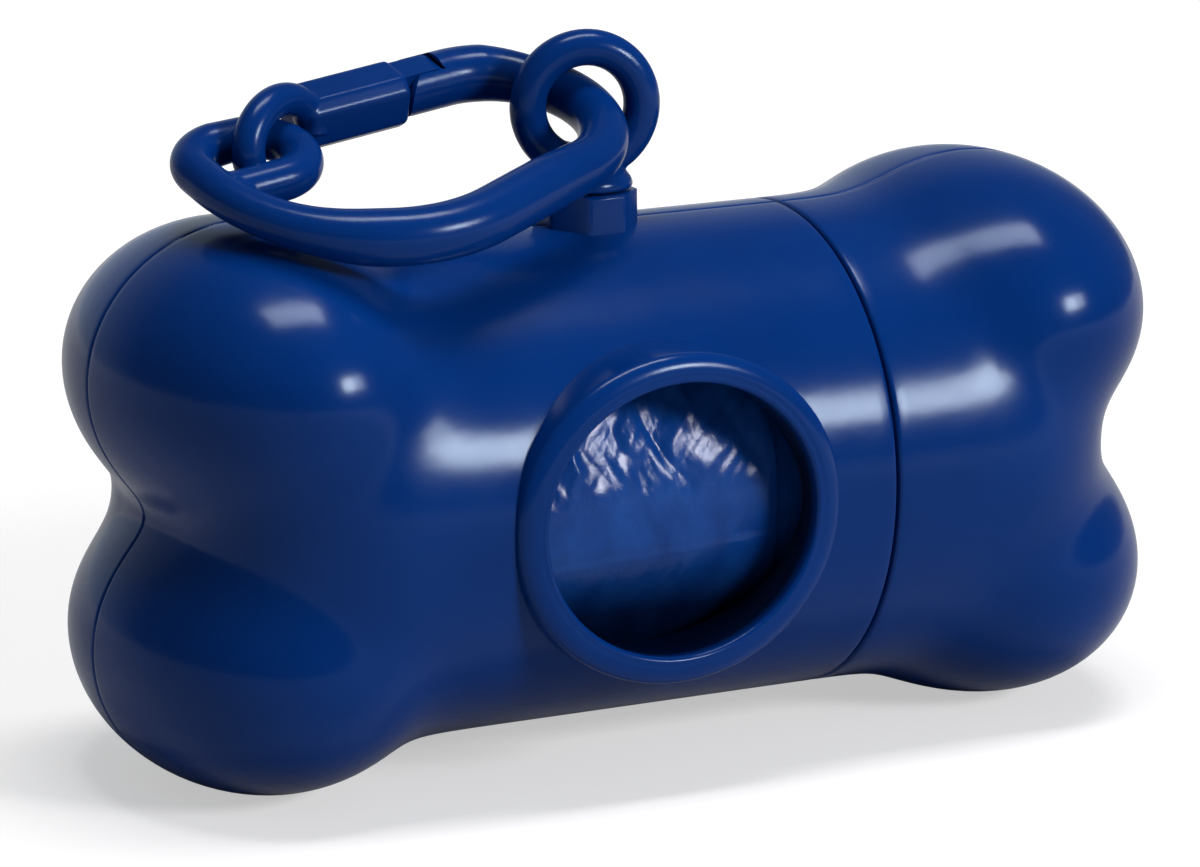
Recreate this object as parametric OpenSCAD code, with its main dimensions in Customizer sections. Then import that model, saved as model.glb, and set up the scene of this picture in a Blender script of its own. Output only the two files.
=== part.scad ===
// Bone-shaped dispenser for rolls of waste bags, moulded in glossy navy plastic.
// The bone's axis runs along X, the bag outlet faces -Y, and the bone lies on z = 0.

/* [Bone form] */
// Radius of the bone's round shaft
shaft_r = 19.6; // [18.6:0.2:20.6]
// Half length of the shaft's core, whose round ends make the cleft between the lobes
shaft_half = 39.1; // [38.5:0.1:39.6]
// Rounding of the shaft core's ends
shaft_round = 13.4; // [12:0.2:14]
// Distance of the lobes' centres from the middle of the bone
lobe_x = 32; // [31:0.2:33]
// Rise of the lobes' crests above the shaft
lobe_rise = 2.75; // [2.2:0.05:3.2]
// Half width of a lobe along the bone
lobe_rx = 13; // [12.4:0.1:13.6]
// How much less deep than the shaft a lobe's core is, on each side
lobe_inset = 1; // [0.4:0.1:1.6]
// Half height of a lobe
lobe_rz = 11.85; // [11.5:0.05:12.3]
// Softness of the hollows where the lobes meet the shaft
blend = 1.2; // [0.9:0.1:1.5]
// Depth of the small flats that the lower lobes rest on
rest_cut = 0.3; // [0.2:0.1:0.6]

/* [Shells] */
// Wall of the moulded half shells
wall = 1.8; // [1.5:0.1:2.1]
// Edge break along the seam between front and rear halves
seam_cut = 0.28; // [0.15:0.01:0.4]
// Place of the joint between body and screw cap, from the middle of the bone
joint_x = 14.9; // [13:0.1:17]
// Gap between the body's and the cap's end faces
joint_gap = 0.2; // [0.1:0.05:0.4]
// Edge break on both sides of the joint, which makes its dark groove
joint_cut = 0.35; // [0.2:0.05:0.5]

/* [Cap neck] */
// Length of the neck that screws into the body
neck_in = 7; // [6:0.5:7.5]
// Length of the neck that is held inside the cap
neck_out = 6; // [4:0.5:8]
// Wall of the neck
neck_wall = 1.5; // [1.2:0.1:2]
// Radial gap round the neck
neck_gap = 0.3; // [0.2:0.05:0.5]

/* [Bag outlet] */
// Place of the outlet along the bone
outlet_x = -4.9; // [-8:0.1:-3]
// Radius of the outlet's opening
outlet_r = 11.4; // [9:0.1:12]
// Width of the outlet ring's raised band
ring_band = 2.4; // [1.8:0.1:3]
// Height of the ring's crest above the shaft's front line
ring_rise = 1; // [0.6:0.1:1.4]
// Wall of the ring's sleeve through the shell
sleeve_wall = 0.7; // [0.5:0.1:1]
// Gap round the sleeve in the shell's hole
sleeve_gap = 0.1; // [0.05:0.05:0.2]

/* [Bag roll] */
// Place of the roll's left end
roll_start = -32.2; // [-32.4:0.1:-31]
// Length of the roll, which is the width of the folded bags
roll_len = 56; // [48:0.5:57]
// Gap between the roll and the neck that it lies in
roll_gap = 0.3; // [0.2:0.05:0.6]
// How far the lying roll's axis is below the bone's axis
roll_sink = 0.4; // [0.3:0.05:0.8]
// Gap between the loose outermost bag and the chamber's floor
loose_gap = 0.85; // [0.6:0.05:1.5]
// Outer radius of the card core
core_r = 6; // [5:0.1:8]
// Wall of the card core
core_wall = 1; // [0.6:0.1:1.5]

/* [Swivel eye] */
// Place of the swivel along the bone
swivel_x = -2.55; // [-4:0.05:0]
// Width of the octagonal boss across its flats
boss_w = 7.8; // [7:0.1:9]
// Height of the boss above the shaft
boss_h = 2.6; // [2:0.1:3]
// Radius of the swivel's stem
stem_r = 1.8; // [1.5:0.1:2.2]
// Running clearance round the stem
stem_gap = 0.06; // [0.03:0.01:0.1]
// Radius of the stem's head, which holds it inside the shells
stem_head_r = 3.1; // [2.8:0.1:3.5]
// Radius of the eye's centre line
eye_r = 4.6; // [4.6:0.1:5]
// Radius of the eye's round section
eye_rod = 1.45; // [1.2:0.05:1.5]
// Turn of the eye about the upright, from facing straight forward
eye_turn = 13; // [8:1:14]
// Gap between the eye's foot and the boss
eye_gap = 0.15; // [0.1:0.05:0.3]

/* [Clip] */
// Radius of the clip's rod
clip_rod = 2; // [1.7:0.05:2.05]
// Centre-line radius of the clip's end in the eye
apex_r = 8; // [7.8:0.1:8.4]
// Angle at which the long side leaves the gate side
spread = 16; // [14:1:17]
// Straight stretch of the long side
long_side = 10.8; // [10:0.2:12]
// Radius of the long side's bow
bow_r = 13.5; // [13:0.1:13.9]
// Centre-line radius of the nose loop's round ends
nose_r = 3.8; // [3.7:0.05:4]
// Distance between the centres of the nose loop's round ends
nose_len = 2.2; // [1.5:0.1:2.8]
// Radius of the nose loop's free stretch
nose_rod = 1.75; // [1.5:0.05:1.8]
// Tilt of the resting clip from level
clip_lean = 21; // [21:0.5:23]
// Compass bearing in which the resting clip faces
clip_face = 259; // [257:1:261]
// Turn of the clip in its own plane
clip_turn = -70.2; // [-72:0.2:-69]

/* [Gate] */
// Distance of the gate's pin past the apex bend
pin_along = 2; // [1.9:0.05:2.2]
// Radius of the gate's pin
pin_r = 0.6; // [0.5:0.05:0.7]
// Running clearance round the pin
pin_gap = 0.03; // [0.02:0.01:0.06]
// Width of the fork's slot
slot_w = 2.7; // [2.5:0.1:2.8]
// Thickness of the gate's tongue
tongue_t = 1.4; // [1.2:0.05:1.5]
// Width and height of the gate's bar
bar_w = 4.6; // [4:0.1:4.8]
// Length of the gate's bar
bar_len = 8.8; // [8.6:0.1:9.2]
// Radius of the gate hook's arch
hook_r = 3.5; // [3.45:0.05:3.55]
// Radius of the hook's rod
hook_rod = 1.3; // [1.1:0.05:1.35]
// Outward lean of the hook's arch
hook_lean = 20; // [16:1:21]
// Wire radius of the gate's return spring
wire_r = 0.18; // [0.15:0.01:0.2]

/* [Hidden] */

$fn = 48;
navy = [0.02, 0.16, 0.43];
film = [0.10, 0.30, 0.62];
steps_round = 23;  // divisions of a half shell from its lower to its upper seam
steps_fan = 9;     // rings from the cleft to the widest part of the lobes
ring_pitch = 3.4;  // spacing of the rings along the shaft
halvings = 16;     // halvings of the search for the skin along a ray

// ---- The bone's skin: a shaft and four lobes, softly joined ----

lobe_z = shaft_r + lobe_rise - lobe_rz;   // height of the lobes' centres off the axis
lobe_ry = shaft_r - lobe_inset;           // half depth of a lobe

function shaft_d(p) =
    let (dx = abs(p[0]) - shaft_half + shaft_round,
         dr = norm([p[1], p[2]]) - shaft_r + shaft_round)
    min(max(dx, dr), 0) + norm([max(dx, 0), max(dr, 0)]) - shaft_round;

function lobe_d(p, side) =
    let (a = [(abs(p[0]) - lobe_x) / lobe_rx, p[1] / lobe_ry, (p[2] - side * lobe_z) / lobe_rz],
         b = [a[0] / lobe_rx, a[1] / lobe_ry, a[2] / lobe_rz],
         l = norm(a))
    l * (l - 1) / max(norm(b), 0.000001);

function bone_d(p) =
    let (s = shaft_d(p), u = lobe_d(p, 1), d = lobe_d(p, -1), m = min(s, u, d))
    m - blend * ln(exp((m - s) / blend) + exp((m - u) / blend) + exp((m - d) / blend));

// Distance from o along d to where the form's depth is level
function reach(o, d, level, lo, hi, n) =
    let (m = (lo + hi) / 2)
    n == 0 ? m
    : bone_d(o + m * d) < level ? reach(o, d, level, m, hi, n - 1)
    : reach(o, d, level, lo, m, n - 1);

function skin(o, d, level) = o + d * reach(o, d, level, 0, 2 * shaft_r, halvings);

lobe_low = -skin([-lobe_x, 0, 0], [0, 0, -1], 0)[2];
axis_h = lobe_low - rest_cut;          // height of the bone's axis
inner_r = shaft_r - wall;              // radius of the bag chamber

function lifted(p) = [p[0], p[1], p[2] + axis_h];

// A front half shell that starts at the cleft on the -X end and stops at x = stop.
// Rings run up the half from seam to seam, on the outside and on the inside.
module half_shell(stop) {
    edge = asin(seam_cut / shaft_r);
    turns = [-90, for (j = [0 : steps_round]) -90 + edge + j * (180 - 2 * edge) / steps_round, 90];
    m = len(turns);
    rows = ceil((stop - joint_cut + lobe_x) / ring_pitch);
    fan = [for (i = [1 : steps_fan]) [-lobe_x, 90 * i / steps_fan, 0]];
    run = [for (i = [1 : rows]) [-lobe_x + (stop - joint_cut + lobe_x) * i / rows, 90, 0]];
    rings = concat(fan, run, [[stop, 90, -joint_cut]]);
    n = len(rings);

    function ray(fan_a, turn) = [-cos(fan_a), -sin(fan_a) * cos(turn), sin(fan_a) * sin(turn)];
    function outer(i, j) =
        let (r = rings[i], cut = (j == 0 || j == m - 1) ? -seam_cut : 0)
        lifted(skin([r[0], 0, 0], ray(r[1], turns[j]), min(cut, r[2])));
    function inner(i, j) =
        let (r = rings[i], p = skin([r[0], 0, 0], ray(r[1], turns[j]), -wall))
        lifted(p);

    tip = skin([-lobe_x, 0, 0], [-1, 0, 0], -seam_cut) + [0, 0, axis_h];
    tip_in = skin([-lobe_x, 0, 0], [-1, 0, 0], -wall) + [0, 0, axis_h];
    points = concat([tip], [for (i = [0 : n - 1], j = [0 : m - 1]) outer(i, j)],
                    [tip_in], [for (i = [0 : n - 1], j = [0 : m - 1]) inner(i, j)]);
    in0 = 1 + n * m;
    function o(i, j) = 1 + i * m + j;
    function q(i, j) = in0 + 1 + i * m + j;
    rim_o = concat([for (i = [n - 1 : -1 : 0]) o(i, 0)], [0], [for (i = [0 : n - 1]) o(i, m - 1)]);
    rim_q = concat([for (i = [n - 1 : -1 : 0]) q(i, 0)], [in0], [for (i = [0 : n - 1]) q(i, m - 1)]);
    faces = concat(
        [for (j = [0 : m - 2]) [0, o(0, j + 1), o(0, j)]],
        [for (j = [0 : m - 2]) [in0, q(0, j), q(0, j + 1)]],
        [for (i = [0 : n - 2], j = [0 : m - 2]) each [
            [o(i, j), o(i, j + 1), o(i + 1, j + 1)], [o(i, j), o(i + 1, j + 1), o(i + 1, j)],
            [q(i, j), q(i + 1, j + 1), q(i, j + 1)], [q(i, j), q(i + 1, j), q(i + 1, j + 1)]]],
        [for (k = [0 : len(rim_o) - 2]) each [
            [rim_o[k], rim_q[k], rim_q[k + 1]], [rim_o[k], rim_q[k + 1], rim_o[k + 1]]]],
        [for (j = [0 : m - 2]) each [
            [o(n - 1, j), o(n - 1, j + 1), q(n - 1, j + 1)],
            [o(n - 1, j), q(n - 1, j + 1), q(n - 1, j)]]]);
    polyhedron(points, faces, convexity = 6);
}

// ---- Body halves, with half of the octagonal boss on each ----

body_end = joint_x - joint_gap / 2;
boss_top = axis_h + shaft_r + boss_h;
hole_r = outlet_r + sleeve_wall + sleeve_gap;

module boss_half() {
    translate([swivel_x, 0, axis_h + shaft_r - wall / 2])
        linear_extrude(boss_h + wall / 2)
            intersection() {
                rotate(22.5) circle(d = boss_w / cos(22.5), $fn = 8);
                translate([-boss_w, -2 * boss_w]) square(2 * boss_w);
            }
}

// What the bone's resting flats are cut off with
module under_floor() {
    translate([-3 * shaft_half, -3 * shaft_r, -2 * shaft_r])
        cube([6 * shaft_half, 6 * shaft_r, 2 * shaft_r]);
}

module stem_bore() {
    translate([swivel_x, 0, axis_h]) cylinder(r = stem_r + stem_gap, h = shaft_r + 2 * boss_h);
}

module body_front_shell() {
    color(navy)
        difference() {
            union() {
                half_shell(body_end);
                boss_half();
            }
            under_floor();
            stem_bore();
            translate([outlet_x, -inner_r / 2, axis_h])
                rotate([90, 0, 0]) cylinder(r = hole_r, h = shaft_r);
        }
}

module body_rear_shell() {
    color(navy)
        difference() {
            union() {
                mirror([0, 1, 0]) half_shell(body_end);
                mirror([0, 1, 0]) boss_half();
            }
            under_floor();
            stem_bore();
        }
}

// ---- Outlet ring: a collar seated on the shaft, with a sleeve through the wall ----

crest_y = shaft_r + ring_rise;

module along_x(r, h) {
    rotate([0, 90, 0]) cylinder(r = r, h = h, center = true);
}

module outlet_ring() {
    collar_r = ring_band / 2;
    seat = 0.05;  // the collar's fit on the shell
    color(navy)
        translate([outlet_x, 0, axis_h]) {
            difference() {
                rotate([90, 0, 0]) rotate_extrude($fn = 96)
                    union() {
                        translate([outlet_r, shaft_r / 2])
                            square([ring_band, crest_y - collar_r - shaft_r / 2]);
                        translate([outlet_r + collar_r, crest_y - collar_r]) circle(collar_r);
                    }
                along_x(shaft_r + seat, 4 * outlet_r);
            }
            difference() {
                rotate([90, 0, 0]) rotate_extrude($fn = 96)
                    translate([outlet_r, shaft_r / 2])
                        square([sleeve_wall, crest_y - collar_r - shaft_r / 2]);
                along_x(inner_r - seat, 4 * outlet_r);
            }
        }
}

// ---- Screw cap: two half shells on a round neck ----

cap_start = joint_x + joint_gap / 2;

module cap_front_shell() {
    color(navy)
        difference() {
            mirror([1, 0, 0]) half_shell(-cap_start);
            under_floor();
        }
}

module cap_rear_shell() {
    color(navy)
        difference() {
            mirror([1, 0, 0]) mirror([0, 1, 0]) half_shell(-cap_start);
            under_floor();
        }
}

neck_r = inner_r - neck_gap;

module cap_neck() {
    lead = neck_wall / 3;  // chamfer that guides the neck into the body
    color(navy)
        translate([joint_x, 0, axis_h])
            rotate([0, 90, 0])
                rotate_extrude($fn = 96)
                    polygon([[neck_r - neck_wall, -neck_in], [neck_r - lead, -neck_in],
                             [neck_r, -neck_in + lead], [neck_r, neck_out],
                             [neck_r - neck_wall, neck_out]]);
}

// ---- Bag roll, lying in the neck and reaching through the chamber ----

roll_z = axis_h - roll_sink;
roll_r = neck_r - neck_wall - roll_gap - roll_sink;  // radius of the tightly wound bags
loose_r = inner_r - loose_gap - roll_sink;           // radius of the loose outermost bag
loose_from = roll_start + 2;                 // the loose bag's left edge
loose_to = joint_x - neck_in - 1.9;          // and its right edge, short of the neck

module on_roll(from, to, r, bore) {
    translate([from, 0, roll_z])
        rotate([0, 90, 0])
            rotate_extrude($fn = 96)
                translate([bore, 0]) square([r - bore, to - from]);
}

module bag_roll() {
    color(film) on_roll(roll_start, roll_start + roll_len, roll_r, core_r);
}

module roll_core() {
    color("tan") on_roll(roll_start, roll_start + roll_len, core_r - 0.05, core_r - core_wall);
}

module leading_bag() {
    color(film) on_roll(loose_from, loose_to, loose_r, roll_r + 0.05);
}

// ---- Swivel eye: ring, foot, stem and head in one moulding ----

eye_z = boss_top + eye_gap + 0.4 + eye_r + eye_rod;

module swivel_eye() {
    foot_h = 1.3;
    head_top = axis_h + sqrt(inner_r * inner_r - stem_head_r * stem_head_r) - eye_gap;
    foot_z = boss_top + eye_gap;
    color(navy) {
        translate([swivel_x, 0, eye_z])
            rotate([90, 0, -eye_turn])
                rotate_extrude($fn = 64) translate([eye_r, 0]) circle(eye_rod);
        translate([swivel_x, 0, 0])
            rotate_extrude()
                polygon([[0, head_top - 1.2], [stem_head_r, head_top - 1.2], [stem_head_r, head_top],
                         [stem_r, head_top], [stem_r, foot_z], [boss_w / 2 - 0.8, foot_z],
                         [boss_w / 2 - 0.8, foot_z + 0.4], [eye_rod + 0.5, foot_z + foot_h + 0.6],
                         [eye_rod - 0.2, foot_z + foot_h + 1], [0, foot_z + foot_h + 1]]);
    }
}

// ---- Clip: one round rod from the gate's fork round to the closed nose loop ----
// In the clip's own plane, u runs from the eye to the nose and v across it.

module in_clip() {
    translate([swivel_x, 0, eye_z])
        rotate([0, clip_lean, clip_face])
            rotate([0, 0, clip_turn])
                children();
}

function arc(c, r, from, to, n) =
    [for (i = [1 : n]) let (a = from + (to - from) * i / n) c + r * [cos(a), sin(a), 0]];

// A closed round rod along a path, where rods gives its radius at each point
// and up is a direction that the path never follows
module rod_along(path, rods, sides, up) {
    n = len(path);
    function along(i) =
        let (d = path[min(i + 1, n - 1)] - path[max(i - 1, 0)]) d / norm(d);
    points = [for (i = [0 : n - 1])
                  let (t = along(i), c = cross(up, t), a = c / norm(c), b = cross(t, a))
                  for (k = [0 : sides - 1])
                      path[i] + rods[i] * (cos(360 * k / sides) * a + sin(360 * k / sides) * b)];
    sleeve = [for (i = [0 : n - 2], k = [0 : sides - 1])
                  let (l = (k + 1) % sides) each [
                      [i * sides + k, (i + 1) * sides + l, i * sides + l],
                      [i * sides + k, (i + 1) * sides + k, (i + 1) * sides + l]]];
    faces = concat([[for (k = [0 : sides - 1]) k]], sleeve,
                   [[for (k = [0 : sides - 1]) n * sides - 1 - k]]);
    polyhedron(points, faces, convexity = 6);
}

gate_v = -apex_r;
slot_floor = apex_r + 0.1;
pin_u = apex_r + pin_along;
leave = [apex_r - apex_r * sin(spread), apex_r * cos(spread), 0];
bow_in = leave + long_side * [cos(spread), sin(spread), 0];
bow_c = bow_in + bow_r * [sin(spread), -cos(spread), 0];
nose_far = [bow_c[0] + bow_r - nose_r, gate_v + nose_r, 0];
nose_near = nose_far - [nose_len, 0, 0];

module clip_body() {
    tip = [for (a = [75, 60, 45, 30, 15]) [[pin_u + clip_rod * sin(a), gate_v, 0], clip_rod * cos(a)]];
    stub = [[pin_u, gate_v, 0], [apex_r, gate_v, 0]];
    apex = arc([apex_r, 0, 0], apex_r, 270, 90 + spread, 12);
    bow = concat([bow_in], arc(bow_c, bow_r, 90 + spread, 0, 12));
    nose = concat([nose_far + [nose_r, 0, 0]], arc(nose_far, nose_r, 0, -90, 6));
    loop = concat([nose_near - [0, nose_r, 0]], arc(nose_near, nose_r, 270, 90, 12));
    last = [nose_near + [0.8, nose_r, 0]];
    thick = concat(stub, apex, bow, nose);
    thin = concat(loop, last);
    color(navy)
        in_clip()
            difference() {
                union() {
                    rod_along(concat([for (t = tip) t[0]], thick, thin),
                              concat([for (t = tip) t[1]], [for (t = thick) clip_rod],
                                     [for (t = thin) nose_rod]), 18, [0, 0, 1]);
                    translate(nose_near + [0.3, nose_r, 0])
                        rotate([0, 90, 0])
                            cylinder(r = nose_rod - 0.03, h = nose_len + nose_r - 0.6, $fn = 24);
                }
                translate([slot_floor, gate_v - slot_w / 2, -2 * clip_rod])
                    cube([4 * clip_rod, slot_w, 4 * clip_rod]);
                translate([pin_u, gate_v, 0])
                    rotate([90, 0, 0])
                        cylinder(r = pin_r + pin_gap, h = 4 * clip_rod, center = true, $fn = 24);
            }
}

// ---- Gate: tongue on the pin, flat-sided bar, and a hook that drops into the nose loop ----

bar_u = pin_u + clip_rod + 0.5;
bar_end = bar_u + bar_len;
tongue_v = gate_v - slot_w / 2 + 0.1;
hook_c = nose_near + nose_r * [-0.9, -0.436, 0];
hook_turn = 21.7;

module clip_gate() {
    edge = bar_w / 5;
    h = bar_w / 2;
    color(navy)
        in_clip()
            difference() {
                union() {
                    translate([bar_u, gate_v, 0])
                        rotate([90, 0, 90])
                            linear_extrude(bar_len)
                                polygon([[-h + edge, -h], [h - edge, -h], [h, -h + edge], [h, h - edge],
                                         [h - edge, h], [-h + edge, h], [-h, h - edge], [-h, -h + edge]]);
                    translate([pin_u, tongue_v, -0.75 * clip_rod])
                        cube([bar_u - pin_u + 0.2, tongue_t, 1.5 * clip_rod]);
                    translate([pin_u, tongue_v + tongue_t, 0])
                        rotate([90, 0, 0]) cylinder(r = pin_along - 0.3, h = tongue_t);
                    translate(hook_c) {
                        rotate([0, 0, hook_turn])
                            rotate([90 + hook_lean, 0, 0])
                                rotate_extrude(angle = 180, $fn = 64)
                                    translate([hook_r, 0]) circle(hook_rod, $fn = 32);
                        rotate([0, 0, hook_turn]) translate([hook_r, 0, 0]) sphere(hook_rod, $fn = 32);
                    }
                }
                translate([pin_u, gate_v, 0])
                    rotate([90, 0, 0]) cylinder(r = pin_r + pin_gap, h = 4 * clip_rod, center = true);
            }
}

module gate_pin() {
    reach_v = sqrt(clip_rod * clip_rod - pin_r * pin_r) - 0.05;  // flush with the fork's cheeks
    color("silver")
        in_clip()
            translate([pin_u, gate_v, 0])
                rotate([90, 0, 0]) cylinder(r = pin_r, h = 2 * reach_v, center = true);
}

// The spring's coil sits on the pin between the tongue and one cheek of the fork,
// and its two legs press on the slot's floor and under the gate.
module gate_spring() {
    coil_r = pin_r + wire_r + 0.15;
    v0 = tongue_v + tongue_t + wire_r + 0.12;
    v1 = gate_v + slot_w / 2 - wire_r - 0.12;
    steps = 18;
    leg = 0.9;
    function on_coil(t) = [pin_u + coil_r * sin(540 * t), v0 + (v1 - v0) * t, coil_r * cos(540 * t)];
    path = concat([on_coil(0) - [leg, 0, 0]], [for (i = [0 : steps]) on_coil(i / steps)],
                  [on_coil(1) - [leg, 0, 0]]);
    color("silver") in_clip() rod_along(path, [for (p = path) wire_r], 6, [0, 1, 0]);
}

body_front_shell();
body_rear_shell();
outlet_ring();
cap_front_shell();
cap_rear_shell();
cap_neck();
bag_roll();
roll_core();
leading_bag();
swivel_eye();
clip_body();
clip_gate();
gate_pin();
gate_spring();
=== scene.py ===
"""A bone-shaped dispenser for waste bags: navy mouldings, a roll of blue bags, and a clip in an eye."""

import bpy
import bmesh
import math
import numpy as np
from mathutils import Matrix, Vector, noise


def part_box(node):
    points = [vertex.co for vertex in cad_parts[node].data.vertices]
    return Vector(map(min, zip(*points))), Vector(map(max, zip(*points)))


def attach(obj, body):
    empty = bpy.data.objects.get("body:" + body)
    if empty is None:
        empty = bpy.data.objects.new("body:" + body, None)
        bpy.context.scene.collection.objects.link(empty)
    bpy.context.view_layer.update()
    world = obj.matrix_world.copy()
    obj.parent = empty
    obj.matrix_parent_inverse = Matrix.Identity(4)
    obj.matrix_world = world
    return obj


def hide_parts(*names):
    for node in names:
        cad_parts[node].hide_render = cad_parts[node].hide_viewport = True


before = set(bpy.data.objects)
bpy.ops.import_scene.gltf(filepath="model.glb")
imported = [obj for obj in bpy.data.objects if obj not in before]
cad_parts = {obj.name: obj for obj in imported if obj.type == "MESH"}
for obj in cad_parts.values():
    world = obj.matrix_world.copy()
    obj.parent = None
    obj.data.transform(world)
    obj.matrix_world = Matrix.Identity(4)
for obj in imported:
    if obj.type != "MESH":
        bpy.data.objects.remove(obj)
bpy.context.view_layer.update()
neck_low, neck_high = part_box("cap_neck")
AXIS_Z = (neck_low.z + neck_high.z) * 500  # height of the bone's axis

# ---- Camera ----
# It stands 0.46 m away, to the left of the outlet and a little above, as the photograph was taken. A
# millimetre at the bone's axis is 12.5 pixels of the picture.
PICTURE_WIDE, PX_PER_MM, SHIFT_X_PX, SHIFT_Y_PX, FILM_WIDE = 1200, 12.547, -13.7, 25.6, 36
CAMERA_AWAY, CAMERA_BEARING, CAMERA_HEIGHT = 461.4, math.radians(27.467), math.radians(13.5)
right = Vector((math.cos(CAMERA_BEARING), -math.sin(CAMERA_BEARING), 0))
back = Vector((-math.sin(CAMERA_BEARING) * math.cos(CAMERA_HEIGHT),
               -math.cos(CAMERA_BEARING) * math.cos(CAMERA_HEIGHT), math.sin(CAMERA_HEIGHT)))
lens = bpy.data.cameras.new("lens")
lens.sensor_width = FILM_WIDE
lens.lens = FILM_WIDE * PX_PER_MM * CAMERA_AWAY / PICTURE_WIDE
lens.shift_x = SHIFT_X_PX / PICTURE_WIDE
lens.shift_y = SHIFT_Y_PX / PICTURE_WIDE
lens.clip_start = 0.01
camera = bpy.data.objects.new("camera", lens)
bpy.context.collection.objects.link(camera)
stand = Matrix((right, back.cross(right), back)).transposed().to_4x4()
stand.translation = (Vector((0, 0, AXIS_Z)) + back * CAMERA_AWAY) / 1000
camera.matrix_world = stand
bpy.context.scene.camera = camera
bpy.context.scene.view_settings.view_transform = "Standard"


# ---- Light and floor ----
# A soft box in front on the right makes the oblong glints on the shaft, a weaker one beside it carries them
# on to the cap, and one overhead makes those on top of the lobes. The floor is matt white; its own glow is
# dimmer near the bone, a painted shadow.
def add(tree, kind, values=None, **settings):
    """Adds a node to a shader tree, with its own settings, and with values for its inputs."""
    node = tree.nodes.new("ShaderNode" + kind)
    for key, value in settings.items():
        setattr(node, key, value)
    for key, value in (values or {}).items():
        node.inputs[key].default_value = value
    return node


def ranged(tree, value, from_low, from_high, to_low, to_high):
    """A value carried over from one range to another, and held at its ends."""
    node = add(tree, "MapRange", {"From Min": from_low, "From Max": from_high,
                                  "To Min": to_low, "To Max": to_high})
    tree.links.new(value, node.inputs["Value"])
    return node.outputs[0]


def worked(tree, operation, first, second):
    """What an operation makes of two values."""
    node = add(tree, "Math", operation=operation)
    tree.links.new(first, node.inputs[0])
    tree.links.new(second, node.inputs[1])
    return node.outputs[0]


def either(tree, choice, first, second):
    """A shader that is the first one where choice is 0, and the second one where it is 1."""
    node = add(tree, "MixShader")
    tree.links.new(choice, node.inputs[0])
    tree.links.new(first.outputs[0], node.inputs[1])
    tree.links.new(second.outputs[0], node.inputs[2])
    return node


world = bpy.data.worlds.new("room")
bpy.context.scene.world = world
world.use_nodes = True
tree = world.node_tree
tree.nodes.clear()
rays = add(tree, "LightPath")
way = add(tree, "SeparateXYZ")
tree.links.new(add(tree, "TexCoord").outputs["Generated"], way.inputs[0])
room = add(tree, "Background", {"Color": (0.93, 0.96, 1.0, 1)})  # lighter towards the ceiling
tree.links.new(ranged(tree, way.outputs["Z"], 0.0, 1.0, 0.07, 0.30), room.inputs["Strength"])
mirrored = add(tree, "Background", {"Color": (0.75, 0.87, 1.0, 1)})  # pale behind the bone, dim elsewhere
tree.links.new(ranged(tree, way.outputs["Y"], 0.6, 1.0, 0.12, 0.7), mirrored.inputs["Strength"])
white = add(tree, "Background", {"Color": (1, 1, 1, 1), "Strength": 1.0})
seen_direct = worked(tree, "MAXIMUM", rays.outputs["Is Camera Ray"], rays.outputs["Is Transmission Ray"])
lights = either(tree, rays.outputs["Is Glossy Ray"], room, mirrored)
everything = either(tree, seen_direct, lights, white)
tree.links.new(everything.outputs[0], add(tree, "OutputWorld").inputs["Surface"])


def soft_box(name, bearing, height, across, width, depth, watts):
    """A soft lamp 1 m from the bone, on a bearing (0 is in front, +90 at the cap) and a height angle."""
    data = bpy.data.lights.new(name, "AREA")
    data.shape = "RECTANGLE"
    data.size, data.size_y = width, depth
    data.energy = watts
    data.color = (1.0, 0.95, 0.96)
    lamp = bpy.data.objects.new(name, data)
    bpy.context.collection.objects.link(lamp)
    a, e = math.radians(bearing), math.radians(height)
    away = Vector((math.sin(a) * math.cos(e), -math.cos(a) * math.cos(e), math.sin(e)))
    across = (Vector(across) - away * away.dot(Vector(across))).normalized()
    facing = Matrix((across, away.cross(across), away)).transposed().to_4x4()
    facing.translation = Vector((0, 0, AXIS_Z / 1000)) + away
    lamp.matrix_world = facing


soft_box("front_box", 27.5, 22.5, (0.857, 0.515, 0), 0.18, 0.20, 5.8)
soft_box("front_side_box", 37.5, 22.5, (0.857, 0.515, 0), 0.14, 0.20, 1.9)
soft_box("top_strip", 53, 84.3, (1, 0, 0), 0.58, 0.25, 7.3)

FLOOR_HALF_M, FLOOR_WHITE = 3, 0.72
floor_mesh = bpy.data.meshes.new("floor")
corners = [(x * FLOOR_HALF_M, y * FLOOR_HALF_M, 0) for x, y in ((-1, -1), (1, -1), (1, 1), (-1, 1))]
floor_mesh.from_pydata(corners, [], [(0, 1, 2, 3)])
floor = bpy.data.objects.new("floor", floor_mesh)
bpy.context.collection.objects.link(floor)
matt_white = bpy.data.materials.new("matt_white_floor")
matt_white.use_nodes = True
tree = matt_white.node_tree
tree.nodes.clear()
rays = add(tree, "LightPath")
from_bone = add(tree, "VectorMath", operation="LENGTH")
tree.links.new(add(tree, "TexCoord").outputs["Object"], from_bone.inputs[0])
glows_with_painted_shadow = []  # painted shadow: the floor's own glow is dimmer near the bone and grows with the distance from it, differently for each kind of ray
for kind, near_m, far_m, least in (("Is Camera Ray", 0.06, 0.40, 0.50), ("Is Glossy Ray", 0.12, 1.2, 0.0),
                                   ("Is Transmission Ray", 0.12, 1.2, 0.50)):
    growing = ranged(tree, from_bone.outputs["Value"], near_m, far_m, least, FLOOR_WHITE)
    glows_with_painted_shadow.append(worked(tree, "MULTIPLY", growing, rays.outputs[kind]))
lit = add(tree, "BsdfDiffuse", {"Color": (0.49, 0.505, 0.505, 1)})
glow = add(tree, "Emission", {"Color": (1, 1, 1, 1)})
strongest = worked(tree, "MAXIMUM", worked(tree, "MAXIMUM", glows_with_painted_shadow[0], glows_with_painted_shadow[1]), glows_with_painted_shadow[2])
tree.links.new(strongest, glow.inputs["Strength"])
both = add(tree, "AddShader")
tree.links.new(lit.outputs[0], both.inputs[0])
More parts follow.
